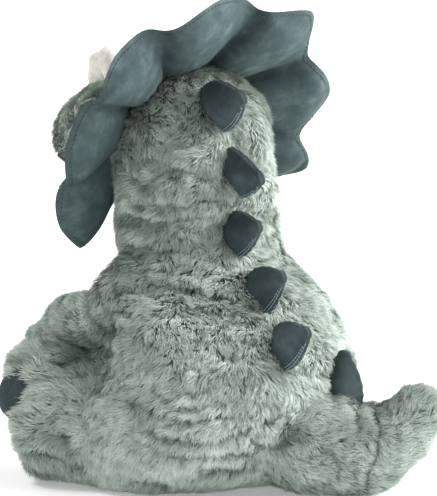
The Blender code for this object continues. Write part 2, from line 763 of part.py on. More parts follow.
# Room for the torso beside the tail's spike as the tail wags towards it.
wag_rooms = []
for share in (1 / 3, 2 / 3, 1):
    bm = turned(torso_form(SWEEP_GAP), -share * TAIL_RANGE[1], (0, 0, 1), TAIL_PIVOT)
    wag_rooms.append(add(f"cut_wag_room_{len(wag_rooms)}", bm))
for name, (root_angle, distance, degrees) in HEAD_SPIKES.items():
    turn, root_turn = math.radians(degrees), math.radians(root_angle)
    out = Vector((0, math.cos(turn), math.sin(turn)))
    root = Vector((0, math.cos(root_turn), math.sin(root_turn))) * distance
    place = HEAD_PLACE @ facing(root - out * SPIKE_SINK, out, (0, -out.z, out.y))
    spike(name, place @ Matrix.Scale(HEAD_SPIKE_SCALE, 4), [head_clear])
for name, (at, degrees) in TORSO_SPIKES.items():
    turn = math.radians(degrees)
    out = Vector((0, math.cos(turn), math.sin(turn)))
    place = facing(Vector(at) - out * SPIKE_SINK, out, (0, -out.z, out.y))
    spike(name, place, [torso_clear, neck_clear, *nape_rooms])
at, out = TAIL_SPIKE
along_tail = Vector(TAIL[2][:3]) - Vector(TAIL[1][:3])
out = Vector(out).normalized()
tail_clear = add("cut_tail_clear", tail_form(GAP))
place = facing(Vector(at) - out * SPIKE_SINK, out, along_tail)
spike("spike_6", place, [tail_clear, torso_clear, *wag_rooms])

for side in ("left", "right"):
    foot_clear = add("cut_foot_clear_" + side, leg_form(side, GAP))
    for which, (across, height, sideways) in CLAWS.items():
        bm = ball(1.0, segments=14, axes=CLAW_AXES)
        place = Matrix.Translation(leg_point(CLAW_AT, across, height))
        turn_out = LEG_SPLAY + sideways
        place = place @ Matrix.Rotation(turn_out, 4, "Z") @ Matrix.Rotation(CLAW_LEAN, 4, "X")
        bm.transform(place)
        if side == "right":
            mirrored(bm)
        cut(add(f"claw_{side}_{which}", bm, "velour_dark"), foot_clear)

for child in parts.objects:
    if child.name.startswith(("head_", "eye_", "brow_", "nose_", "nostril_", "mouth_", "frill_")):
        if child is not head_frame:
            place = child.matrix_world.copy()
            child.parent = head_frame
            child.matrix_world = place
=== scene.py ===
import itertools
import math

import bmesh
import bpy
import numpy as np
from mathutils import Matrix, Vector
from mathutils.bvhtree import BVHTree


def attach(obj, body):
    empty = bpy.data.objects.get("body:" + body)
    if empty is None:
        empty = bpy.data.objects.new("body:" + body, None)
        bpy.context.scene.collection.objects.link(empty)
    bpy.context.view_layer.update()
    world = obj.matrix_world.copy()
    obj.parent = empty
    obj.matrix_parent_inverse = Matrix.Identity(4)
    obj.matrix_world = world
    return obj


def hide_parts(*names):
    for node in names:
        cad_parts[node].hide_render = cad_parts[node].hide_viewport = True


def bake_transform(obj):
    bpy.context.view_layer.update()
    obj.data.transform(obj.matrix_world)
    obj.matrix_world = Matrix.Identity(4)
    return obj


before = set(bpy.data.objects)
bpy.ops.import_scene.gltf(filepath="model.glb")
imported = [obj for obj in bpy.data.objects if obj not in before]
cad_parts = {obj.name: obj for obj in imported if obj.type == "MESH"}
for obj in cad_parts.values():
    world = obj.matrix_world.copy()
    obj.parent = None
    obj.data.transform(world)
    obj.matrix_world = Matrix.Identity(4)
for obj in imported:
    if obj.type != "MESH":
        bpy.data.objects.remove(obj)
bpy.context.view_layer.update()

RANDOM = np.random.default_rng(11)

# ---------------------------------------------------------------- shapes, close to the CAD's forms
PILE = 0.0045  # the backing lies this far inside the CAD skin, and the pile fills the rest
HEAD_CENTRE = Vector((0.0, -0.030, 0.236))
HEAD_LEAN = math.radians(11)
HEAD_PLACE = Matrix.Translation(HEAD_CENTRE) @ Matrix.Rotation(HEAD_LEAN, 4, "Y")
HEAD = (
    (0.040, 0.000, 0.039, 0.037),
    (0.022, 0.000, 0.055, 0.050),
    (0.000, 0.000, 0.060, 0.055),
    (-0.028, 0.000, 0.057, 0.054),
    (-0.056, 0.000, 0.051, 0.046),
    (-0.084, -0.001, 0.049, 0.038),
    (-0.106, -0.003, 0.042, 0.031),
)
HEAD_END = 0.018
CHEEK_AT = (0.042, -0.047, 0.033)  # from the head's centre
CHEEK_REACH, CHEEK_HEIGHT = 0.017, 0.010
NECK_COLUMN = (
    (0.184, -0.019, 0.046, 0.043),
    (0.190, -0.019, 0.054, 0.050),
    (0.200, -0.020, 0.057, 0.053),
    (0.216, -0.020, 0.057, 0.053),
    (0.240, -0.022, 0.052, 0.048),
)
TORSO = (
    (0.000, -0.012, 0.066, 0.040),
    (0.008, -0.004, 0.082, 0.058),
    (0.022, 0.006, 0.094, 0.075),
    (0.046, 0.014, 0.098, 0.086),
    (0.072, 0.015, 0.097, 0.087),
    (0.094, 0.014, 0.093, 0.087),
    (0.112, 0.011, 0.087, 0.082),
    (0.128, 0.006, 0.080, 0.073),
    (0.142, 0.000, 0.070, 0.063),
    (0.158, -0.008, 0.060, 0.055),
    (0.172, -0.014, 0.057, 0.053),
    (0.182, -0.018, 0.055, 0.051),
    (0.190, -0.019, 0.047, 0.044),
    (0.196, -0.019, 0.030, 0.028),
)
ARM_PIVOT = Vector((0.052, -0.014, 0.144))
ARM = (
    (0.052, -0.014, 0.142, 0.0235),
    (0.061, -0.022, 0.125, 0.0225),
    (0.066, -0.038, 0.115, 0.0210),
    (0.065, -0.060, 0.111, 0.0195),
    (0.057, -0.086, 0.105, 0.0180),
    (0.050, -0.111, 0.092, 0.0172),
    (0.049, -0.132, 0.083, 0.0170),
)
LEG_SPLAY = math.radians(35)
LEG_ROOT = Vector((0.042, 0.0, 0.0))
LEG = (
    (0.036, 0.038, 0.038, 0.038),
    (0.054, 0.040, 0.041, 0.041),
    (0.072, 0.047, 0.047, 0.048),
    (0.086, 0.046, 0.047, 0.047),
)
SOLE_DEPTH = 0.017
FOOT_FULL_AT = (0.104, -0.064, 0.086)
FOOT_FULL_REACH, FOOT_FULL_HEIGHT = 0.022, 0.013
HOLLOW_AT = (0.077, -0.010, 0.097)
HOLLOW_REACH = 0.021
HOLLOW_IN_TORSO, HOLLOW_IN_LEG = 0.014, 0.010  # how deep it is in each
CLAWS = {"outer": (0.031, 0.066, 0.5), "middle": (0.0, 0.075, 0.0), "inner": (-0.031, 0.066, -0.5)}
CLAW_AT = 0.092
CLAW_AXES = (0.0135, 0.0150, 0.0195)
CLAW_LEAN = math.radians(-24)
TAIL_PIVOT = Vector((-0.029, 0.084, 0.038))
TAIL = (
    (-0.029, 0.084, 0.038, 0.038),
    (-0.041, 0.093, 0.036, 0.037),
    (-0.055, 0.104, 0.034, 0.035),
    (-0.075, 0.118, 0.043, 0.028),
    (-0.088, 0.127, 0.058, 0.020),
)
SPIKE_BASE = 0.0165
SPIKE_THICK = 0.0105
SPIKE_LENGTH = 0.036
SPIKE_SINK = 0.006
# Where each root is, as an angle and a distance from the head's centre, and how far up it points.
HEAD_SPIKES = {"spike_1": (33, 0.0620, 24), "spike_2": (-14, 0.0580, 6)}
HEAD_SPIKE_SCALE = 1.12
TORSO_SPIKES = {
    "spike_3": ((0.0, 0.034, 0.180), 24),
    "spike_4": ((0.0, 0.066, 0.145), 33),
    "spike_5": ((0.0, 0.097, 0.111), 32),
}
TAIL_SPIKE = ((-0.046, 0.096, 0.071), (-0.15, 0.12, 1.0))
HORN_BROW = ((0.014, -0.050, 0.042), (0.20, -0.30, 1.0), 0.0110, 0.021)
HORN_NOSE = ((0.0, -0.096, 0.031), (0.0, -0.22, 1.0), 0.0115, 0.016)
FRILL_PLACE = (
    HEAD_PLACE @ Matrix.Translation((0.0, 0.006, 0.004)) @ Matrix.Rotation(math.radians(-30), 4, "X")
)
FRILL_SEAMS = [math.radians(a) for a in (-42, -7, 34, 71, 114, 157, 200, 222)]
FRILL_SEAM_RS = (0.109, 0.102, 0.104, 0.111, 0.108, 0.102, 0.103, 0.100)  # radius at each seam
FRILL_POINTS = (0.113, 0.110, 0.124, 0.121, 0.123, 0.114, 0.119)  # radius at each panel's point
FRILL_SEAM_R = 0.106  # the seams' usual radius
FRILL_INNER = 0.046
FRILL_CONE = 0.024  # how far forward of the rim its root is
FRILL_TWIST = 0.006
FRILL_TWIST_AT = math.radians(50)
FRILL_FLANGE = 0.0038  # from the stitched line to the rim

# ---------------------------------------------------------------- pile
TUFT = 0.0062  # how far apart the tufts of the pile are
HAIR = 0.0105  # length of the pile
HAIR_WIDTH = 0.00052
HAIRS_PER_M2 = 1.75e6
LEAN = 1.0  # of the pile, in radians from upright
CREASE_SPACING = 0.0125  # between the level creases of the plush
CREASE_DEPTH = 0.0060
TAIL_RING_SPACING, TAIL_RING_REACH, TAIL_RING_DEPTH = 0.0095, 0.070, 0.0030
ARM_RING_SPACING, ARM_RING_REACH, ARM_RING_DEPTH = 0.0125, 0.110, 0.0026
FUR_SHADES = (
    (0.100, 0.132, 0.113),
    (0.205, 0.256, 0.223),
    (0.335, 0.402, 0.352),
    (0.470, 0.545, 0.486),
    (0.620, 0.690, 0.632),
)


# ---------------------------------------------------------------- numbers
def cell_value(cell, seed):
    """A number from 0 to 1 of its own for every integer cell."""
    c = cell.astype(np.int64).astype(np.uint64)
    h = c[:, 0] * np.uint64(374761393) + c[:, 1] * np.uint64(668265263)
    h = (h + c[:, 2] * np.uint64(2246822519) + np.uint64(seed * 3266489917)) & np.uint64(0xFFFFFFFF)
    h = ((h ^ (h >> np.uint64(15))) * np.uint64(2654435761)) & np.uint64(0xFFFFFFFF)
    h = ((h ^ (h >> np.uint64(13))) * np.uint64(1274126177)) & np.uint64(0xFFFFFFFF)
    return (h ^ (h >> np.uint64(16))).astype(float) / 0xFFFFFFFF


def noise(points, size, seed=0):
    """Smooth noise from -1 to 1 whose features are about size across."""
    q = np.asarray(points) / size
    low = np.floor(q)
    f = q - low
    w = f * f * (3 - 2 * f)
    total = np.zeros(len(q))
    for corner in itertools.product((0, 1), repeat=3):
        share = np.prod(np.where(np.array(corner), w, 1 - w), axis=1)
        total += share * cell_value(low + corner, seed)
    return total * 2 - 1


def tufts(points, size, seed=0):
    """The centre of the tuft that each point belongs to, and a cell that names the tuft."""
    q = points / size
    low = np.floor(q)
    best = np.full(len(q), 9.0)
    centre = np.zeros_like(q)
    name = np.zeros_like(q)
    for step in itertools.product((-1, 0, 1), repeat=3):
        cell = low + step
        at = cell + np.stack([cell_value(cell, seed + k) for k in range(3)], axis=1)
        far = ((at - q) ** 2).sum(axis=1)
        nearer = far < best
        best = np.where(nearer, far, best)
        centre[nearer] = at[nearer]
        name[nearer] = cell[nearer]
    return centre * size, name, np.sqrt(best)


def unit(v):
    return v / np.maximum(np.linalg.norm(v, axis=1, keepdims=True), 1e-9)


def spline_rows(rows, step):
    rows = np.array(rows, float)
    ends = np.vstack([2 * rows[0] - rows[1], rows, 2 * rows[-1] - rows[-2]])
    out = []
    for k in range(len(rows) - 1):
        a, b, c, d = ends[k : k + 4]
        count = max(1, round(float(np.linalg.norm(c[:3] - b[:3])) / step))
        for t in np.arange(count) / count:
            out.append(
                0.5
                * (2 * b + (c - a) * t + (2 * a - 5 * b + 4 * c - d) * t**2 + (3 * b - a - 3 * c + d) * t**3)
            )
    out.append(rows[-1])
    return np.array(out)


# ---------------------------------------------------------------- materials
def new_material(name):
    made = bpy.data.materials.new(name)
    made.use_nodes = True
    tree = made.node_tree
    return made, tree, tree.nodes["Principled BSDF"]


def set_inputs(node, values):
    for socket, value in values.items():
        node.inputs[socket].default_value = value


def noise_node(tree, scale, detail=3.0, rough=0.6):
    """Noise in object coordinates; scale is features per metre."""
    place = tree.nodes.new("ShaderNodeTexCoord")
    node = tree.nodes.new("ShaderNodeTexNoise")
    set_inputs(node, {"Scale": scale, "Detail": detail, "Roughness": rough})
    tree.links.new(place.outputs["Object"], node.inputs["Vector"])
    return node


def math_node(tree, operation, *values):
    """Works on numbers and on other nodes' outputs."""
    node = tree.nodes.new("ShaderNodeMath")
    node.operation = operation
    for socket, value in zip(node.inputs, values):
        if isinstance(value, float):
            socket.default_value = value
        else:
            tree.links.new(value, socket)
    return node.outputs["Value"]


def ramp(tree, source, stops):
    node = tree.nodes.new("ShaderNodeValToRGB")
    while len(node.color_ramp.elements) < len(stops):
        node.color_ramp.elements.new(0.5)
    for element, (at, colour) in zip(node.color_ramp.elements, stops):
        element.position = at
        element.color = (*colour, 1.0)
    tree.links.new(source, node.inputs["Fac"])
    return node.outputs["Color"]


def bump(tree, shader, heights, strength, distance):
    """Bump from the sum of several (node, weight) heights."""
    total = None
    for node, weight in heights:
        scaled = math_node(tree, "MULTIPLY", node.outputs["Fac"], weight)
        total = scaled if total is None else math_node(tree, "ADD", total, scaled)
    node = tree.nodes.new("ShaderNodeBump")
    set_inputs(node, {"Strength": strength, "Distance": distance})
    tree.links.new(total, node.inputs["Height"])
    tree.links.new(node.outputs["Normal"], shader.inputs["Normal"])


def with_seam_shade(tree, colour):
    """The given colour, darker with painted shade along the seam valleys, as much as the mesh's attribute
    says.
    """
    seam_shade = tree.nodes.new("ShaderNodeAttribute")
    seam_shade.attribute_name = "seam_shade"
    mix = tree.nodes.new("ShaderNodeMix")
    mix.data_type = "RGBA"
    mix.blend_type = "MULTIPLY"
    tree.links.new(seam_shade.outputs["Fac"], mix.inputs["Factor"])
    tree.links.new(colour, mix.inputs[6])
    # The colour that the painted shade multiplies in at the bottom of a seam valley.
    mix.inputs[7].default_value = (0.22, 0.24, 0.25, 1.0)
    return mix.outputs[2]


PILE_SHARE = 0.28  # of the fine pile in the colour of velour


def cloth_material(name, dark, mid, light, nap=55, fine=2200, sheen=0.5, strength=0.5, seams=False):
    """Short-pile velour: patches where the nap lies the other way, and a fine pile."""
    made, tree, shader = new_material(name)
    patch = noise_node(tree, nap, 4.0, 0.62)
    pile = noise_node(tree, fine, 2.0, 0.7)
    # The fine pile is centred on zero, so that it only varies the patches.
    centred = math_node(tree, "SUBTRACT", patch.outputs["Fac"], PILE_SHARE / 2)
    mixed = math_node(tree, "MULTIPLY_ADD", pile.outputs["Fac"], PILE_SHARE, centred)
    colour = ramp(tree, mixed, ((0.34, dark), (0.52, mid), (0.68, light)))
    # Painted shade in the seam valleys.
    if seams:
        colour = with_seam_shade(tree, colour)
    tree.links.new(colour, shader.inputs["Base Color"])
    set_inputs(shader, {"Roughness": 0.85, "Specular IOR Level": 0.2})
    set_inputs(shader, {"Sheen Weight": sheen, "Sheen Roughness": 0.45, "Sheen Tint": (*light, 1.0)})
    bump(tree, shader, ((patch, 1.0), (pile, 0.35)), strength, 0.0012)
    return made


def mottle(tree, shader, source, *stops):
    tree.links.new(ramp(tree, source.outputs["Fac"], stops), shader.inputs["Base Color"])


def backing_material():
    """The ground of the plush, seen only deep between the tufts: its colour is darker than the pile's, as
    painted shade.
    """
    made, tree, shader = new_material("plush_backing")
    patch = noise_node(tree, 180, 4.0, 0.7)
    mottle(tree, shader, patch, (0.35, (0.13, 0.165, 0.145)), (0.65, (0.24, 0.29, 0.255)))
    set_inputs(shader, {"Roughness": 0.95, "Specular IOR Level": 0.1})
    bump(tree, shader, ((patch, 1.0),), 0.8, 0.002)
    return made


def fur_material(number, colour):
    made, _, shader = new_material(f"pile_shade_{number}")
    set_inputs(shader, {"Base Color": (*colour, 1.0), "Roughness": 0.75, "Specular IOR Level": 0.25})
    set_inputs(shader, {"Sheen Weight": 0.25, "Sheen Roughness": 0.5})
    return made


def eye_material():
    made, tree, shader = new_material("safety_eye")
    depth = noise_node(tree, 400, 2.0)
    mottle(tree, shader, depth, (0.3, (0.006, 0.004, 0.003)), (0.7, (0.014, 0.010, 0.008)))
    set_inputs(shader, {"Roughness": 0.06, "Coat Weight": 0.6, "Coat Roughness": 0.03})
    return made


def thread_material(name, colour):
    made, tree, shader = new_material(name)
    twist = noise_node(tree, 1500, 2.0, 0.5)
    mottle(tree, shader, twist, (0.35, colour), (0.65, tuple(c * 1.9 + 0.01 for c in colour)))
    set_inputs(shader, {"Roughness": 0.55})
    bump(tree, shader, ((twist, 1.0),), 0.5, 0.0004)
    return made


BACKING = backing_material()
FURS = [fur_material(k, colour) for k, colour in enumerate(FUR_SHADES)]
VELOUR = cloth_material(
    "velour_frill",
    (0.045, 0.069, 0.071),
    (0.060, 0.090, 0.092),
    (0.092, 0.131, 0.131),
    nap=75,
    sheen=0.22,
    seams=True,
)
VELOUR_DARK = cloth_material(
    "velour_spike", (0.026, 0.039, 0.042), (0.036, 0.053, 0.057), (0.056, 0.080, 0.084), nap=60, sheen=0.35
)
HORN = cloth_material(
    "velour_horn", (0.52, 0.48, 0.44), (0.68, 0.64, 0.60), (0.80, 0.77, 0.73), nap=90, sheen=0.3
)
THREAD = thread_material("thread_dark", (0.012, 0.022, 0.026))
THREAD_LIGHT = thread_material("thread_seam", (0.110, 0.155, 0.165))
EYE = eye_material()


# ---------------------------------------------------------------- mesh makers
def link(obj):
    bpy.context.scene.collection.objects.link(obj)
    return obj


def ring_axes(rows, side, up):
    if side is not None:
        return [(Vector(side), Vector(up), Vector(side).cross(Vector(up)))] * len(rows)
    axes = []
    for way in np.gradient(rows[:, :3], axis=0):
        along = Vector(way).normalized()
        across = along.cross(Vector((0, 0, 1))).normalized()
        axes.append((across, across.cross(along), along))
    return axes


def form(rows, grow=0.0, side=None, up=None, start=None, end=None, ring=64, caps=8):
    """A closed bmesh lofted through elliptical rings, as in the CAD but finer."""
    rows = np.array(rows, float)
    axes = ring_axes(rows, side, up)
    rings = []
    for row, (across, upward, along) in zip(rows, axes):
        rings.append((Vector(row[:3]), across, upward, row[3] + grow, row[4] + grow))

    def ending(ring_at, along, sign, depth):
        centre, across, upward, wide, high = ring_at
        if depth is None:
            return [], None
        reach = depth + grow
        made = []
        for k in range(1, caps):
            turn = math.pi / 2 * k / caps
            at = centre + along * (sign * reach * math.sin(turn))
            made.append((at, across, upward, wide * math.cos(turn), high * math.cos(turn)))
        return made, centre + along * (sign * reach)

    first, last = axes[0][2], axes[-1][2]
    if side is not None:
        heading = Vector(rows[-1][:3] - rows[0][:3])
        first = last = first * (1 if heading.dot(first) > 0 else -1)
    before, low_pole = ending(rings[0], first, -1, start)
    after, high_pole = ending(rings[-1], last, 1, end)
    rings = before[::-1] + rings + after
    bm = bmesh.new()
    loops = []
    for centre, across, upward, wide, high in rings:
        loop = []
        for k in range(ring):
            turn = 2 * math.pi * k / ring
            loop.append(
                bm.verts.new(centre + across * (wide * math.cos(turn)) + upward * (high * math.sin(turn)))
            )
        loops.append(loop)
    for below, above in zip(loops, loops[1:]):
        for k in range(ring):
            j = (k + 1) % ring
            bm.faces.new((below[k], below[j], above[j], above[k]))
    for loop, pole in ((loops[0], low_pole), (loops[-1], high_pole)):
        if pole is None:
            bm.faces.new(loop)
            continue
        tip = bm.verts.new(pole)
        for k in range(ring):
            bm.faces.new((loop[k], loop[(k + 1) % ring], tip))
    bmesh.ops.recalc_face_normals(bm, faces=bm.faces)
    return bm


def mesh_object(name, bm, material, smooth=True):
    bmesh.ops.recalc_face_normals(bm, faces=bm.faces)
    mesh = bpy.data.meshes.new(name)
    bm.to_mesh(mesh)
    bm.free()
    mesh.materials.append(material)
    if smooth:
        mesh.shade_smooth()
    return link(bpy.data.objects.new(name, mesh))


def points_of(mesh):
    points = np.empty(len(mesh.vertices) * 3)
    mesh.vertices.foreach_get("co", points)
    return points.reshape(-1, 3)


def normals_of(mesh):
    normals = np.empty(len(mesh.vertices) * 3)
    mesh.vertex_normals.foreach_get("vector", normals)
    return normals.reshape(-1, 3)


def set_points(mesh, points):
    mesh.vertices.foreach_set("co", points.ravel())
    mesh.update()


def shift(mesh, amount):
    """Moves every point along its normal."""
    set_points(mesh, points_of(mesh) + normals_of(mesh) * np.asarray(amount)[:, None])


LEVEL = np.array((0.8, 0.8, 1.5))  # the folds of the plush are wider than they are high


def creases(p, seed):
    """1 on a level crease of the slack plush, falling to 0 beside it: they wander and come and go."""
    drift = 0.85 * noise(p, 0.040, seed) + 0.45 * noise(p, 0.016, seed + 1)
    level = p[:, 2] / CREASE_SPACING + drift
    near = np.abs(level - np.round(level))
    shown = np.clip(0.45 + 1.6 * noise(p * LEVEL, 0.028, seed + 2), 0, 1)
    return np.exp(-((near / 0.12) ** 2)) * shown


def body_relief(p, seed, bands=1.0):
    """The lumps of loose stuffing and the level folds of slack plush, in metres."""
    folds = -CREASE_DEPTH * bands * creases(p, seed)
    lumps = 0.0034 * noise(p, 0.036, seed + 3) + 0.0026 * noise(p * LEVEL, 0.016, seed + 4)
    return folds + lumps


# ---------------------------------------------------------------- backings
def facing(at, way, roll_to=(0, 1, 0)):
    z = Vector(way).normalized()
    x = Vector(roll_to).cross(z).normalized()
    y = z.cross(x)
    turn = Matrix((x, y, z)).transposed().to_4x4()
    return Matrix.Translation(Vector(at)) @ turn


LEG_WAY = Vector((math.sin(LEG_SPLAY), -math.cos(LEG_SPLAY), 0))
LEG_ACROSS = Vector((math.cos(LEG_SPLAY), math.sin(LEG_SPLAY), 0))


def leg_point(along, across, height):
    """A point of the left leg, this far above the floor."""
    at = LEG_ROOT + LEG_WAY * along + LEG_ACROSS * across
    return Vector((at.x, at.y, height))


def mirror(bm):
    bmesh.ops.scale(bm, vec=(-1, 1, 1), verts=bm.verts)
    bmesh.ops.reverse_faces(bm, faces=bm.faces)
    return bm


def arm_bm(side, grow):
    rows = spline_rows([(*row, row[3]) for row in ARM], 0.005)
    bm = form(rows, grow, start=ARM[0][3], end=ARM[-1][3], ring=48)
    return bm if side == "left" else mirror(bm)


def leg_bm(side, grow):
    rows = [(*leg_point(along, 0, height), wide, high) for along, height, wide, high in LEG]
    bm = form(spline_rows(rows, 0.005), grow, start=LEG[0][2], end=SOLE_DEPTH, ring=64, caps=10)
    return bm if side == "left" else mirror(bm)


def tail_bm(grow):
    rows = spline_rows([(*row, row[3]) for row in TAIL], 0.004)
    return form(rows, grow, start=TAIL[0][3], end=TAIL[-1][3], ring=56)


def torso_bm(grow):
    rows = spline_rows([(0, y, z, wide, deep) for z, y, wide, deep in TORSO], 0.005)
    return form(rows, grow, side=(1, 0, 0), up=(0, 1, 0), ring=96)


def skull_bm(grow):
    rows = spline_rows([(0, y, z, wide, high) for y, z, wide, high in HEAD], 0.005)
    bm = form(rows, grow, side=(1, 0, 0), up=(0, 0, 1), start=HEAD_END, end=HEAD_END, ring=72, caps=10)
    bm.transform(HEAD_PLACE)
    return bm


def column_bm(grow):
    rows = spline_rows([(0, y, z, wide, deep) for z, y, wide, deep in NECK_COLUMN], 0.004)
    return form(rows, grow, side=(1, 0, 0), up=(0, 1, 0), ring=80)


def press_to_floor(mesh, clearance):
    """What reaches the floor lies flat on it."""
    points = points_of(mesh)
    points[:, 2] = np.maximum(points[:, 2], clearance)
    set_points(mesh, points)


FLOOR_CLEAR = 0.0015


def backing(name, bm, relief):
    made = mesh_object(name, bm, BACKING)
    shift(made.data, relief(points_of(made.data)))
    press_to_floor(made.data, FLOOR_CLEAR)
    return made


def limb_rings(p, centre, spacing, reach, seed):
    """Wrinkles that run round a limb near its root: 1 in each furrow, 0 on the ridges between."""
    far = np.linalg.norm(p - np.array(centre), axis=1)
    wave = 0.5 - 0.5 * np.cos(2 * math.pi * (far / spacing + 0.7 * noise(p, 0.024, seed)))
    shown = np.clip(0.55 + 1.2 * noise(p, 0.018, seed + 1), 0, 1)
    return wave**3 * shown * np.clip((reach - far) / 0.02, 0, 1)


def tail_rings(p):
    return limb_rings(p, TAIL_PIVOT, TAIL_RING_SPACING, TAIL_RING_REACH, 61)


def arm_rings(p):
    on_left = p * np.array((np.sign(p[0, 0]), 1, 1))
    return limb_rings(on_left, ARM_PIVOT, ARM_RING_SPACING, ARM_RING_REACH, 41)


def rise(p, centre, reach, height):
    """A rounded rise at a point and at its mirror image in the plane X = 0."""
    near = np.column_stack((np.abs(p[:, 0]), p[:, 1:]))
    far = np.linalg.norm(near - np.array(centre), axis=1)
    return height * np.exp(-((far / reach) ** 2))


def tail_relief(p):
    return -TAIL_RING_DEPTH * tail_rings(p) + 0.7 * body_relief(p, 60, 0.1)


def arm_relief(p):
    return -ARM_RING_DEPTH * arm_rings(p) + body_relief(p, 40, 0.2)


def hollow(p):
    """1 in the deep hollow where the arm, the leg and the flank meet, falling to 0 beside it."""
    return rise(p, HOLLOW_AT, HOLLOW_REACH, 1.0)


def torso_relief(p):
    return body_relief(p, 20) - HOLLOW_IN_TORSO * hollow(p)


def skull_relief(p):
    """With full cheeks behind the eyes."""
    return body_relief(p, 35, 0.4) + rise(p, HEAD_PLACE @ Vector(CHEEK_AT), CHEEK_REACH, CHEEK_HEIGHT)


def leg_relief(p):
    """With the foot full where it rises behind the claws."""
    full = rise(p, FOOT_FULL_AT, FOOT_FULL_REACH, FOOT_FULL_HEIGHT)
    return body_relief(p, 50, 1.1) + full - HOLLOW_IN_LEG * hollow(p)


backings = {
    "torso": backing("torso_backing", torso_bm(-PILE), torso_relief),
    "column": backing("neck_backing", column_bm(-PILE), lambda p: body_relief(p, 30)),
    "skull": backing("head_backing", skull_bm(-PILE), skull_relief),
    "tail": backing("tail_backing", tail_bm(-PILE), tail_relief),
}
for side in ("left", "right"):
    backings["arm_" + side] = backing(f"arm_{side}_backing", arm_bm(side, -PILE), arm_relief)
    backings["leg_" + side] = backing(f"leg_{side}_backing", leg_bm(side, -PILE), leg_relief)


def tree_of(mesh):
    bm = bmesh.new()
    bm.from_mesh(mesh)
    tree = BVHTree.FromBMesh(bm)
    bm.free()
    return tree


def swell(key, other, reach):
    """Fills the crease where one form meets another, as the one skin over both does."""
    tree = tree_of(originals[other])
    points = points_of(backings[key].data)
    lift = np.zeros(len(points))
    for k, point in enumerate(points):
        at, normal, _, far = tree.find_nearest(Vector(point))
        far = -far if (Vector(point) - at).dot(normal) < 0 else far
        lift[k] = reach / 4 * max(0.0, 1 - max(far, 0.0) / reach) ** 2
    shift(backings[key].data, lift)


originals = {key: made.data.copy() for key, made in backings.items()}
FILLETS = [("torso", "tail", 0.024), ("tail", "torso", 0.024), ("torso", "column", 0.016)]
for side in ("left", "right"):
    FILLETS += [("torso", "leg_" + side, 0.032), ("leg_" + side, "torso", 0.032)]
for key, other, reach in FILLETS:
    swell(key, other, reach)
    press_to_floor(backings[key].data, FLOOR_CLEAR)
for mesh in originals.values():
    bpy.data.meshes.remove(mesh)


# ---------------------------------------------------------------- pile
def scatter(mesh, per_area):
    """Points spread evenly over a mesh by area, with the smooth normal at each."""
    mesh.calc_loop_triangles()
    tris = np.empty(len(mesh.loop_triangles) * 3, np.int32)
    mesh.loop_triangles.foreach_get("vertices", tris)
    tris = tris.reshape(-1, 3)
    points, normals = points_of(mesh), normals_of(mesh)
    a, b, c = (points[tris[:, k]] for k in range(3))
    areas = np.linalg.norm(np.cross(b - a, c - a), axis=1) / 2
    count = int(areas.sum() * per_area)
    edges = np.cumsum(areas) / areas.sum()
    chosen = np.searchsorted(edges, (np.arange(count) + RANDOM.random(count)) / count)
    chosen = np.minimum(chosen, len(tris) - 1)
    u, v = RANDOM.random(count), RANDOM.random(count)
    over = u + v > 1
    u, v = np.where(over, 1 - u, u), np.where(over, 1 - v, v)
    w = 1 - u - v
    share = np.stack([w, u, v], axis=1)[:, :, None]
    return (points[tris[chosen]] * share).sum(axis=1), unit((normals[tris[chosen]] * share).sum(axis=1))


def depth_inside(points, tree, box):
    """How deep each point is inside a closed form, or 0 outside it."""
    low, high = box
    near = ((points > low) & (points < high)).all(axis=1)
    depth = np.zeros(len(points))
    for k in np.nonzero(near)[0]:
        at, normal, _, far = tree.find_nearest(Vector(points[k]))
        if (Vector(points[k]) - at).dot(normal) < 0:
            depth[k] = far
    return depth


TREES = {}
for key, made in backings.items():
    p = points_of(made.data)
    TREES[key] = (tree_of(made.data), (p.min(axis=0), p.max(axis=0)))


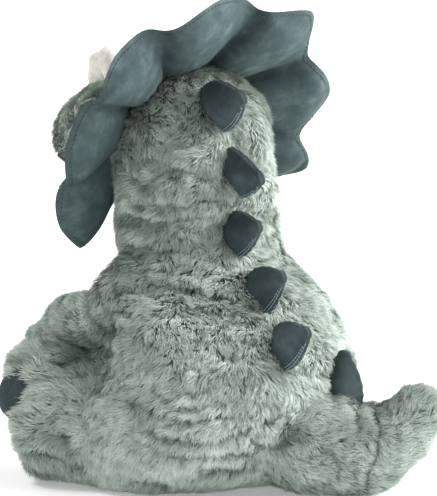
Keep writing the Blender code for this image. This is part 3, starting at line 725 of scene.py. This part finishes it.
def strands(name, roots, normals, comb, length, furrow_and_shade, seed):
    """Tapered hairs that gather into tufts: each is a bent blade of three triangles.

    comb is the way the pile lies and length the length of each hair; the next argument says how far each
    hair lies in a furrow or in shade, where it lies lower and painted shade makes it darker.
    """
    count = len(roots)
    centre, cell, far = tufts(roots, TUFT, seed)
    own = np.stack([cell_value(cell, seed + 10 + k) for k in range(4)], axis=1)
    # The pile swirls smoothly, a tuft turns a little of its own, and each hair strays a little.
    swirl = 0.95 * noise(roots, 0.022, seed + 20) + 0.95 * noise(roots, 0.0085, seed + 21)
    swirl = swirl * np.clip(roots[:, 2] / 0.045, 0.35, 1.0)
    swirl = swirl + 0.5 * (own[:, 0] - 0.5) + RANDOM.normal(0, 0.22, count)
    side = unit(np.cross(normals, comb))
    way = unit(np.cross(side, normals))
    way = way * np.cos(swirl)[:, None] + side * np.sin(swirl)[:, None]
    tilt = LEAN + 0.22 * noise(roots, 0.011, seed + 22) + 0.16 * (own[:, 1] - 0.5)
    tilt = np.clip(tilt + RANDOM.normal(0, 0.10, count), 0.2, 1.45)
    folded = furrow_and_shade[:, None]
    reach = length * (0.92 + 0.16 * noise(roots, 0.007, seed + 23)) * RANDOM.uniform(0.82, 1.12, count)
    gap = centre - roots
    gap = gap - normals * (gap * normals).sum(axis=1)[:, None]
    low_way = unit(way * np.sin(tilt * 0.62)[:, None] + normals * np.cos(tilt * 0.62)[:, None])
    high_way = unit(way * np.sin(tilt * 1.2)[:, None] + normals * np.cos(tilt * 1.2)[:, None])
    bend = side * RANDOM.normal(0, 0.13, count)[:, None]
    mid = roots + (low_way + bend) * (reach * 0.5)[:, None] + gap * 0.12
    tip = mid + (high_way - bend * 1.4) * (reach * 0.5)[:, None] + gap * 0.20
    mid, tip = mid - normals * folded * 0.0005, tip - normals * folded * 0.0012
    across = unit(np.cross(high_way, normals))
    twist = RANDOM.normal(0, 0.35, count)[:, None]
    across = unit(across * np.cos(twist) + normals * np.sin(twist))
    width = HAIR_WIDTH * RANDOM.uniform(0.75, 1.3, count)[:, None]
    verts = np.stack(
        [
            roots - across * width * 0.5,
            roots + across * width * 0.5,
            mid + across * width * 0.46,
            mid - across * width * 0.46,
            tip,
        ],
        axis=1,
    )
    verts[:, :, 2] = np.maximum(verts[:, :, 2], 0.0004)
    # Painted shade: darker in the furrows and the shaded places, and towards the edge of each tuft; the rest
    # of the tone varies at random.
    shade = 2.50 + 0.35 * (own[:, 3] - 0.5) + 0.80 * noise(roots * LEVEL, 0.022, seed + 30)
    shade = shade + 0.80 * noise(roots, 0.0050, seed + 31) - 2.6 * furrow_and_shade
    shade = shade - 0.55 * np.clip(far - 0.35, 0, 1) + RANDOM.normal(0, 0.36, count)
    most = len(FUR_SHADES) - 1
    # Painted shade at each hair's root and painted light at its tip: the root is darker and the tip lighter.
    root_shade = np.clip(np.round(shade - 1.0), 0, most).astype(np.int32)
    tip_shade = np.clip(np.round(shade + 0.8), 0, most).astype(np.int32)
    mid_shade = np.clip(np.round(shade), 0, most).astype(np.int32)

    mesh = bpy.data.meshes.new(name)
    mesh.vertices.add(count * 5)
    mesh.vertices.foreach_set("co", verts.astype(np.float32).ravel())
    base = (np.arange(count, dtype=np.int32) * 5)[:, None]
    faces = np.concatenate([base + [0, 1, 2], base + [0, 2, 3], base + [3, 2, 4]], axis=1).ravel()
    mesh.loops.add(count * 9)
    mesh.loops.foreach_set("vertex_index", faces.astype(np.int32))
    mesh.polygons.add(count * 3)
    mesh.polygons.foreach_set("loop_start", np.arange(count * 3, dtype=np.int32) * 3)
    for furred in FURS:
        mesh.materials.append(furred)
    slots = np.stack([root_shade, mid_shade, tip_shade], axis=1).ravel()
    mesh.polygons.foreach_set("material_index", slots.astype(np.int32))
    mesh.update(calc_edges=True)
    mesh.shade_smooth()
    obj = link(bpy.data.objects.new(name, mesh))
    return obj


def down(points):
    return np.tile(np.array((0.0, 0.0, -1.0)), (len(points), 1))


def torso_comb(p):
    """Down the back, and away from the spine."""
    way = down(p)
    way[:, 0] += 0.45 * np.sign(p[:, 0]) * np.clip(np.abs(p[:, 0]) / 0.06, 0, 1)
    return way


def skull_comb(p):
    """From the muzzle back over the brow, then down the nape."""
    way = down(p)
    way[:, 1] += np.where(p[:, 1] < 0.0, 1.6, 0.0)
    return way


def sinking(comb):
    """The given comb, turning straight down near the floor."""

    def lower(p):
        share = np.clip((0.050 - p[:, 2]) / 0.030, 0, 1)[:, None]
        return unit(comb(p)) * (1 - share) + np.array((0, 0, -1.0)) * share

    return lower


def along_path(path):
    path = np.array(path)[:, :3]
    ways = unit(np.gradient(path, axis=0))

    def comb(p):
        far = ((p[:, None, :] - path[None]) ** 2).sum(axis=2)
        return ways[far.argmin(axis=1)] + np.array((0, 0, -0.25))

    return comb


def mirrored_comb(comb):
    flip = np.array((-1.0, 1.0, 1.0))
    return lambda p: comb(p * flip) * flip


arm_comb = along_path(spline_rows([(*row, row[3]) for row in ARM], 0.005))
leg_comb = along_path([leg_point(a, 0, 0.03 + 0.2 * a) for a in np.linspace(0.0, 0.12, 12)])
tail_comb = along_path(spline_rows([(*row, row[3]) for row in TAIL], 0.004))


def hidden(points, others, deeper):
    """Where a hair's root lies deep inside another form, so that it never shows."""
    gone = np.zeros(len(points), bool)
    for other in others:
        gone |= depth_inside(points, *TREES[other]) > deeper
    return gone


FUR = {
    "torso": (torso_comb, HAIR, ("arm_left", "arm_right", "leg_left", "leg_right", "tail", "column")),
    "column": (torso_comb, HAIR, ("skull", "torso")),
    "skull": (skull_comb, HAIR, ("column",)),
    "tail": (tail_comb, HAIR * 0.92, ("torso",)),
    "arm_left": (arm_comb, HAIR, ("torso",)),
    "arm_right": (mirrored_comb(arm_comb), HAIR, ("torso",)),
    "leg_left": (sinking(leg_comb), HAIR * 1.08, ("torso",)),
    "leg_right": (sinking(mirrored_comb(leg_comb)), HAIR * 1.08, ("torso",)),
}
# For each form, how far its pile lies in a furrow or in shade: there the hairs lie lower, and painted shade
# darkens them in the creases, in the rings, in the hollow where the arm, the leg and the flank meet, and a
# little all over the arms.
FURROWS_AND_SHADE = {
    "torso": lambda p: creases(p, 20) + hollow(p),
    "column": lambda p: creases(p, 30),
    "skull": lambda p: 0.4 * creases(p, 35),
    "tail": tail_rings,
}
for side in ("left", "right"):
    # Painted shade: the arm's pile is darker all over, and darker still in the hollow.
    FURROWS_AND_SHADE["arm_" + side] = lambda p: 0.25 + arm_rings(p) + hollow(p)
    FURROWS_AND_SHADE["leg_" + side] = lambda p: creases(p, 50) + hollow(p)
MOST_IN_PIECE = 62000
fur_pieces = {}
for seed, (key, (comb, hair, others)) in enumerate(FUR.items()):
    roots, normals = scatter(backings[key].data, HAIRS_PER_M2)
    keep = ~hidden(roots, others, deeper=0.007)
    keep &= ~((roots[:, 2] < 0.004) & (normals[:, 2] < -0.9))
    roots, normals = roots[keep], normals[keep]
    length = np.full(len(roots), hair)
    if key == "skull":
        muzzle = np.clip((-0.085 - roots[:, 1]) / 0.05, 0, 1)
        length = length * (1 - 0.4 * muzzle)
    order = np.argsort(roots[:, 2], kind="stable")
    made = []
    pieces = max(1, math.ceil(len(roots) / MOST_IN_PIECE))
    for number, chosen in enumerate(np.array_split(order, pieces)):
        at = roots[chosen]
        made.append(
            strands(
                f"pile_{key}_{number}",
                at,
                normals[chosen],
                comb(at),
                length[chosen],
                FURROWS_AND_SHADE[key](at),
                100 + 40 * seed,
            )
        )
    fur_pieces[key] = made


# ---------------------------------------------------------------- frill
def frill_panel(turn):
    """The number of the panel at an angle, and the share of the way across it."""
    for panel, (low, high) in enumerate(zip(FRILL_SEAMS, FRILL_SEAMS[1:])):
        if turn <= high + 1e-9:
            break
    return panel, (turn - low) / (high - low)


def frill_radius(turn):
    panel, within = frill_panel(turn)
    low, high = FRILL_SEAM_RS[panel : panel + 2]
    seam = low + (high - low) * within
    return seam + (FRILL_POINTS[panel] - seam) * (1 - abs(2 * within - 1) ** 1.4)


PANEL_STEPS, PANEL_ANGLE = 18, math.radians(37)  # the steps across a panel of this angle
RADIAL_STEPS = 18
FRILL_CROWN = 0.0115  # how far a panel's fullest point stands off the middle of the wadding
FRILL_WAVE = 0.0170  # how far the rim swings forward and back between seam and point


def frill_turns():
    """The angle of every radial line of the grid, with lines on all the seams."""
    turns = []
    for low, high in zip(FRILL_SEAMS, FRILL_SEAMS[1:]):
        steps = max(8, round(PANEL_STEPS * (high - low) / PANEL_ANGLE))
        turns += list(np.linspace(low, high, steps, endpoint=False))
    return turns + [FRILL_SEAMS[-1]]


def frill_point(turn, r, side):
    """A point of the frill: side is -1 on the front layer and 1 on the back layer."""
    panel, within = frill_panel(turn)
    within = min(max(within, 0.0), 1.0)
    share = (r - FRILL_INNER) / (FRILL_SEAM_R - FRILL_INNER)
    # Fullest nearer the panel's lower seam, so that each panel laps towards the next.
    lap = math.sin(math.pi * within**0.8) ** 0.6
    depth = min(1.0, 1.25 * math.sin(math.pi * min(max(0.10 + 0.86 * share, 0.0), 1.0)) ** 0.7)
    gathered = 0.0007 * math.sin(turn * 46 + 1.3 * math.sin(turn * 9)) * max(0.0, 1 - 1.5 * share)
    at = np.array([[r * math.cos(turn), side * 0.02, r * math.sin(turn)]])
    loose = 0.0011 * float(noise(at, 0.016, 81 + panel)[0]) + 0.0016 * float(noise(at, 0.034, 91)[0])
    rim = (frill_radius(turn) - r) / FRILL_FLANGE
    closing = min(1.0, 0.12 + 0.55 * max(0.0, rim) ** 0.6)
    crown = side * (0.0012 + FRILL_CROWN * lap * depth) * closing
    wave = FRILL_WAVE * (0.5 - within) * (1 - abs(2 * within - 1) ** 6) * share**1.5
    curl = 0.0030 * (math.sin(math.pi * within) - 0.5) * share**2
    twist = -FRILL_TWIST * share * math.cos(turn - FRILL_TWIST_AT)
    cone = -FRILL_CONE * max(0.0, 1 - share)
    offset = cone + twist + wave + curl + crown + (gathered + loose * lap) * closing
    return Vector((r * math.cos(turn), offset, r * math.sin(turn)))


def make_frill():
    """Two velour layers, closed round the rim and the root, and held together at the seams."""
    turns = frill_turns()
    bm = bmesh.new()
    pinned = []
    layers = []
    seam_shades = []
    for side in (-1, 1):
        grid = []
        for turn in turns:
            within = frill_panel(turn)[1]
            # Painted shade along each seam valley: wide and strong at the start of each panel, narrow at its
            # end.
            seam_shade = 0.75 * math.exp(-abs(within) / 0.13) + 0.5 * math.exp(-abs(1 - within) / 0.05)
            rim = frill_radius(turn)
            row = []
            radii = list(np.linspace(FRILL_INNER, rim - FRILL_FLANGE, RADIAL_STEPS)) + [rim]
            for r in radii:
                row.append(bm.verts.new(frill_point(turn, r, side)))
                seam_shades.append(seam_shade)
            grid.append(row)
        layers.append(grid)
    low, high = layers
    for i in range(len(turns) - 1):
        for j in range(RADIAL_STEPS):
            bm.faces.new((low[i][j], low[i + 1][j], low[i + 1][j + 1], low[i][j + 1]))
            bm.faces.new((high[i][j], high[i][j + 1], high[i + 1][j + 1], high[i + 1][j]))
        for j in (0, -1):
            bm.faces.new((low[i][j], high[i][j], high[i + 1][j], low[i + 1][j]))
    for i in (0, -1):
        for j in range(RADIAL_STEPS):
            bm.faces.new((low[i][j], low[i][j + 1], high[i][j + 1], high[i][j]))
    bm.verts.index_update()
    seams = set()
    for seam in FRILL_SEAMS:
        seams.add(min(range(len(turns)), key=lambda i: abs(turns[i] - seam)))
    for grid in layers:
        for i, row in enumerate(grid):
            for j, vert in enumerate(row):
                if i in seams or j == 0 or j >= RADIAL_STEPS - 1:
                    pinned.append(vert.index)
    bm.transform(FRILL_PLACE)
    made = mesh_object("frill", bm, VELOUR)
    # Stores the painted seam shade on the mesh, for the material.
    made.data.attributes.new("seam_shade", "FLOAT", "POINT").data.foreach_set("value", seam_shades)
    return made, pinned


def inflate(obj, pinned, pressure, frames, cap):
    """Cloth under pressure, held along its seams. No point moves further than cap."""
    rest = points_of(obj.data)
    group = obj.vertex_groups.new(name="seams")
    group.add(pinned, 1.0, "REPLACE")
    cloth = obj.modifiers.new("inflate", "CLOTH")
    settings = cloth.settings
    settings.quality = 6
    settings.mass = 0.003
    settings.tension_stiffness = 3
    settings.compression_stiffness = 4
    settings.shear_stiffness = 4
    settings.bending_stiffness = 0.05
    settings.tension_damping = 8
    settings.compression_damping = 8
    settings.shear_damping = 8
    settings.vertex_group_mass = "seams"
    settings.use_pressure = True
    settings.uniform_pressure_force = pressure
    settings.effector_weights.gravity = 0.0
    cloth.collision_settings.use_collision = False
    cloth.collision_settings.use_self_collision = False
    scene = bpy.context.scene
    cloth.point_cache.frame_start, cloth.point_cache.frame_end = 1, frames
    for number in range(1, frames + 1):
        scene.frame_set(number)
    blown = obj.evaluated_get(bpy.context.evaluated_depsgraph_get())
    moved = points_of(blown.data) - rest
    obj.modifiers.remove(cloth)
    scene.frame_set(1)
    far = np.linalg.norm(moved, axis=1, keepdims=True)
    set_points(obj.data, rest + moved * np.minimum(1.0, cap / np.maximum(far, 1e-9)))


frill, held = make_frill()
inflate(frill, held, pressure=4.0, frames=20, cap=0.004)
smooth = frill.modifiers.new("smooth", "SUBSURF")
smooth.levels = smooth.render_levels = 1
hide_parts("frill_back_layer", "frill_front_layer", "frill_wadding")
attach(frill, "head")


def stitch_line(bm, points, normals, length, gap, radius):
    """Adds a row of separate stitches along a line, each a short flattened capsule."""
    points = [Vector(p) for p in points]
    spans = [0.0]
    for a, b in zip(points, points[1:]):
        spans.append(spans[-1] + (b - a).length)

    def at(distance):
        k = min(max(int(np.searchsorted(spans, distance)) - 1, 0), len(points) - 2)
        share = (distance - spans[k]) / max(spans[k + 1] - spans[k], 1e-9)
        return points[k].lerp(points[k + 1], share), Vector(normals[k]).lerp(Vector(normals[k + 1]), share)

    start = 0.0
    while start + length < spans[-1]:
        (a, na), (b, nb) = at(start), at(start + length)
        along = (b - a).normalized()
        up = (na + nb).normalized()
        side = along.cross(up).normalized()
        rings = []
        for share, fat in ((0.0, 0.35), (0.15, 0.85), (0.5, 1.0), (0.85, 0.85), (1.0, 0.35)):
            middle = a.lerp(b, share) + up * (radius * 0.5 * (1 - (2 * share - 1) ** 2))
            ring_verts = []
            for k in range(6):
                turn = math.pi / 3 * k
                ring_verts.append(
                    bm.verts.new(
                        middle
                        + side * (radius * fat * math.cos(turn))
                        + up * (radius * 0.6 * fat * math.sin(turn))
                    )
                )
            rings.append(ring_verts)
        for one, two in zip(rings, rings[1:]):
            for k in range(6):
                bm.faces.new((one[k], one[(k + 1) % 6], two[(k + 1) % 6], two[k]))
        bm.faces.new(rings[0][::-1])
        bm.faces.new(rings[-1])
        start += length + gap


def stitching(name, lines, material, body, length, gap, radius):
    bm = bmesh.new()
    for points, normals in lines:
        stitch_line(bm, points, normals, length, gap, radius)
    made = mesh_object(name, bm, material)
    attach(made, body)


def rim_line(front):
    points, normals = [], []
    turn_matrix = FRILL_PLACE.to_3x3()
    for turn in np.linspace(FRILL_SEAMS[0] + 0.03, FRILL_SEAMS[-1] - 0.03, 220):
        r = frill_radius(turn) - FRILL_FLANGE
        points.append(FRILL_PLACE @ frill_point(turn, r, -1 if front else 1))
        normals.append(turn_matrix @ Vector((0, -1.0 if front else 1.0, 0)))
    return points, normals


rims = [rim_line(True), rim_line(False)]
stitching("frill_stitch", rims, THREAD, "head", length=0.0026, gap=0.0009, radius=0.00045)


# ---------------------------------------------------------------- spikes, claws and horns
def pad(name, rows, place, material, node, body, seam=True):
    """A stuffed cover; with a seam, it has puckers along it and the seam's groove and ridge."""
    end = rows[-1][4] * 0.75
    bm = form(spline_rows(rows, 0.0016), side=(1, 0, 0), up=(0, 1, 0), end=end, ring=40, caps=6)
    made = mesh_object(name, bm, material)
    p = points_of(made.data)
    if seam:
        # Two covers meet at the seam, so the section is a lens and not an ellipse.
        _, lean, heights, _, half = zip(*rows)
        wide = np.interp(p[:, 2], heights, half)
        middle = np.interp(p[:, 2], heights, lean)
        edge = np.clip(np.abs(p[:, 1] - middle) / wide, 0, 1)
        p[:, 0] *= 1 - 0.45 * edge**2
        set_points(made.data, p)
    across = np.abs(p[:, 0]) / np.maximum(np.abs(p[:, 1]), 1e-5)
    near_seam = np.exp(-((across / 0.35) ** 2))
    pucker = 0.00035 * np.sin(p[:, 2] / 0.0011) * near_seam
    groove = -0.0006 * np.exp(-((p[:, 0] / 0.0009) ** 2))
    ridge = 0.0005 * np.exp(-(((np.abs(p[:, 0]) - 0.0017) / 0.0009) ** 2))
    loose = 0.0007 * noise(p + len(name), 0.011, 3) + 0.0003 * noise(p, 0.005, 4)
    shift(made.data, (pucker + groove + ridge if seam else 0.0) + loose)
    made.data.transform(place)
    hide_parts(node)
    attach(made, body)
    return made


SPIKE_SHAPE = ((-0.3, 0.86), (0.0, 0.99), (0.25, 1.0), (0.50, 0.86), (0.74, 0.60), (0.92, 0.34))


def spike(number, place, body):
    rows = []
    for z, r in SPIKE_SHAPE:
        # The tip leans a little towards the tail, and the pad thins towards it.
        lean = -0.0030 * max(0.0, z) ** 1.5
        rows.append((0, lean, z * SPIKE_LENGTH, 0.9 * SPIKE_THICK * r, SPIKE_BASE * r))
    pad(f"spike_pad_{number}", rows, place, VELOUR_DARK, f"spike_{number}", body)
    # Two lines of topstitching follow the rear edge, on both sides.
    lines = []
    for side, (out, half) in itertools.product((-1, 1), ((0.95, 0.20), (0.86, 0.34))):
        edge = [(side * half * x, lean - y * out, z, 0, 0) for _, lean, z, x, y in rows]
        edge = spline_rows(edge, 0.002)[4:]
        points = [place @ (Vector(point[:3]) + Vector((side * 0.0003, -0.0003, 0))) for point in edge]
        normals = [place.to_3x3() @ Vector((side * 1.0, -0.7, 0.15)) for _ in edge]
        lines.append((points, normals))
    name = f"spike_stitch_{number}"
    stitching(name, lines, THREAD_LIGHT, body, length=0.0024, gap=0.0005, radius=0.00040)


def rearward(degrees):
    """Backwards, and up by an angle."""
    turn = math.radians(degrees)
    return Vector((0, math.cos(turn), math.sin(turn)))


for name, (root_angle, distance, degrees) in HEAD_SPIKES.items():
    root, out = rearward(root_angle) * distance, rearward(degrees)
    place = HEAD_PLACE @ facing(root - out * SPIKE_SINK, out, (0, -out.z, out.y))
    spike(name[-1], place @ Matrix.Scale(HEAD_SPIKE_SCALE, 4), "head")
for name, (at, degrees) in TORSO_SPIKES.items():
    out = rearward(degrees)
    spike(name[-1], facing(Vector(at) - out * SPIKE_SINK, out, (0, -out.z, out.y)), "torso")
at, out = TAIL_SPIKE
along_tail = Vector(TAIL[2][:3]) - Vector(TAIL[1][:3])
out = Vector(out).normalized()
spike("6", facing(Vector(at) - out * SPIKE_SINK, out, along_tail), "tail")

for side in ("left", "right"):
    for which, (across, height, sideways) in CLAWS.items():
        bm = bmesh.new()
        bmesh.ops.create_uvsphere(bm, u_segments=40, v_segments=24, radius=1.0)
        bmesh.ops.scale(bm, vec=CLAW_AXES, verts=bm.verts)
        place = Matrix.Translation(leg_point(CLAW_AT, across, height))
        place = place @ Matrix.Rotation(LEG_SPLAY + sideways, 4, "Z") @ Matrix.Rotation(CLAW_LEAN, 4, "X")
        made = mesh_object(f"claw_pad_{side}_{which}", bm, VELOUR_DARK)
        p = points_of(made.data)
        groove = -0.0007 * np.exp(-((p[:, 0] / 0.0009) ** 2))
        shift(made.data, groove + 0.0006 * noise(p, 0.010, 9))
        made.data.transform(place)
        if side == "right":
            bm = bmesh.new()
            bm.from_mesh(made.data)
            mirror(bm)
            bm.to_mesh(made.data)
            bm.free()
        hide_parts(f"claw_{side}_{which}")
        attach(made, "leg_" + side)


def horn(name, node, place, radius, length):
    shape = ((-0.7, 1.1), (0.2, 1.0), (0.65, 0.88), (1.0, 0.68))
    rows = [(0, 0, z * length, radius * r, radius * r) for z, r in shape]
    pad(name, rows, HEAD_PLACE @ place, HORN, node, "head", seam=False)


root, way, radius, length = HORN_BROW
for side, sign in (("left", 1), ("right", -1)):
    at = Vector((root[0] * sign, root[1], root[2]))
    place = facing(at, (way[0] * sign, way[1], way[2]))
    horn(f"brow_horn_pad_{side}", f"brow_horn_{side}", place, radius, length)
root, way, radius, length = HORN_NOSE
horn("nose_horn_pad", "nose_horn", facing(root, way), radius, length)

# ---------------------------------------------------------------- what rides on what
stands_for = {
    "torso": ["torso_skin_left", "torso_skin_right", "torso_stuffing", "seat_panel", "pellet_bag"],
    "column": ["neck_skin", "neck_stuffing"],
    "skull": ["head_skin_left", "head_skin_right", "head_stuffing"],
    "tail": ["tail_skin", "tail_stuffing"],
}
for side in ("left", "right"):
    for limb in ("arm", "leg"):
        stands_for[f"{limb}_{side}"] = [f"{limb}_{side}_skin", f"{limb}_{side}_stuffing"]
for key, made in backings.items():
    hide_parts(*stands_for[key])
    for piece in [made, *fur_pieces[key]]:
        if key == "torso":
            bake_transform(piece)
        elif key == "column":
            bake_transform(piece)
        else:
            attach(piece, "head" if key == "skull" else key)

WASHER = thread_material("washer_plastic", (0.5, 0.5, 0.48))
for material, names in (
    (EYE, ("eye_left", "eye_right")),
    (THREAD, ("nostril_left", "nostril_right", "mouth_stitch")),
    (WASHER, ("eye_washer_left", "eye_washer_right")),
):
    for name in names:
        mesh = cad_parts[name].data
        mesh.materials.clear()
        mesh.materials.append(material)
        if material == EYE:
            mesh.shade_smooth()

# ---------------------------------------------------------------- floor, light and camera
bm = bmesh.new()
bmesh.ops.create_grid(bm, x_segments=1, y_segments=1, size=12.0)
paper, tree, shader = new_material("floor_paper")
mottle(tree, shader, noise_node(tree, 3.0, 2.0), (0.3, (0.95, 0.95, 0.95)), (0.7, (0.96, 0.96, 0.96)))
# Painted light: the paper glows a little, so that it stays pale beside the toy, also where the toy's shadow
# falls.
WHITE = (1.0, 1.0, 1.0, 1.0)
set_inputs(shader, {"Roughness": 0.9, "Emission Color": WHITE, "Emission Strength": 0.28})
floor = mesh_object("floor", bm, paper, smooth=False)

world = bpy.data.worlds.new("studio")
world.use_nodes = True
set_inputs(world.node_tree.nodes["Background"], {"Color": WHITE, "Strength": 0.38})
bpy.context.scene.world = world


def area_light(name, location, target, size, power):
    lamp = bpy.data.lights.new(name, "AREA")
    lamp.size = size
    lamp.energy = power
    obj = link(bpy.data.objects.new(name, lamp))
    obj.location = location
    way = Vector(target) - Vector(location)
    obj.rotation_euler = way.to_track_quat("-Z", "Y").to_euler()


def outward(azimuth, elevation):
    """The way out from the toy: azimuth 0 is its front, and 90 its left."""
    a, e = math.radians(azimuth), math.radians(elevation)
    return Vector((math.sin(a) * math.cos(e), -math.cos(a) * math.cos(e), math.sin(e)))


MIDDLE = Vector((0, 0, 0.16))
LIGHT_FAR = 1.8
area_light("key", MIDDLE + outward(238, 22) * LIGHT_FAR, MIDDLE, size=0.8, power=40)
area_light("fill", MIDDLE + outward(58, 50) * LIGHT_FAR, MIDDLE, size=0.6, power=16)
lamp = bpy.data.lights.new("daylight", "SUN")
lamp.energy = 2.8
lamp.angle = math.radians(36)
daylight = link(bpy.data.objects.new("daylight", lamp))
daylight.rotation_euler = outward(236, 50).to_track_quat("Z", "Y").to_euler()

CAMERA_FAR = 9.0
FRAME_WIDTH = 0.3060
target = Vector((-0.0203, -0.0204, 0.1599))
back = outward(azimuth=147, elevation=10)
lens = bpy.data.cameras.new("camera")
# The picture is taller than it is wide, so the sensor's width spans its height.
SENSOR = 36.0
PICTURE_SHAPE = 496 / 437
lens.sensor_width = SENSOR
lens.lens = SENSOR * CAMERA_FAR / (FRAME_WIDTH * PICTURE_SHAPE)
lens.clip_start, lens.clip_end = 0.1, 50.0
camera = link(bpy.data.objects.new("camera", lens))
camera.location = target + back * CAMERA_FAR
camera.rotation_euler = back.to_track_quat("Z", "Y").to_euler()
bpy.context.scene.camera = camera
bpy.context.scene.view_settings.view_transform = "Standard"
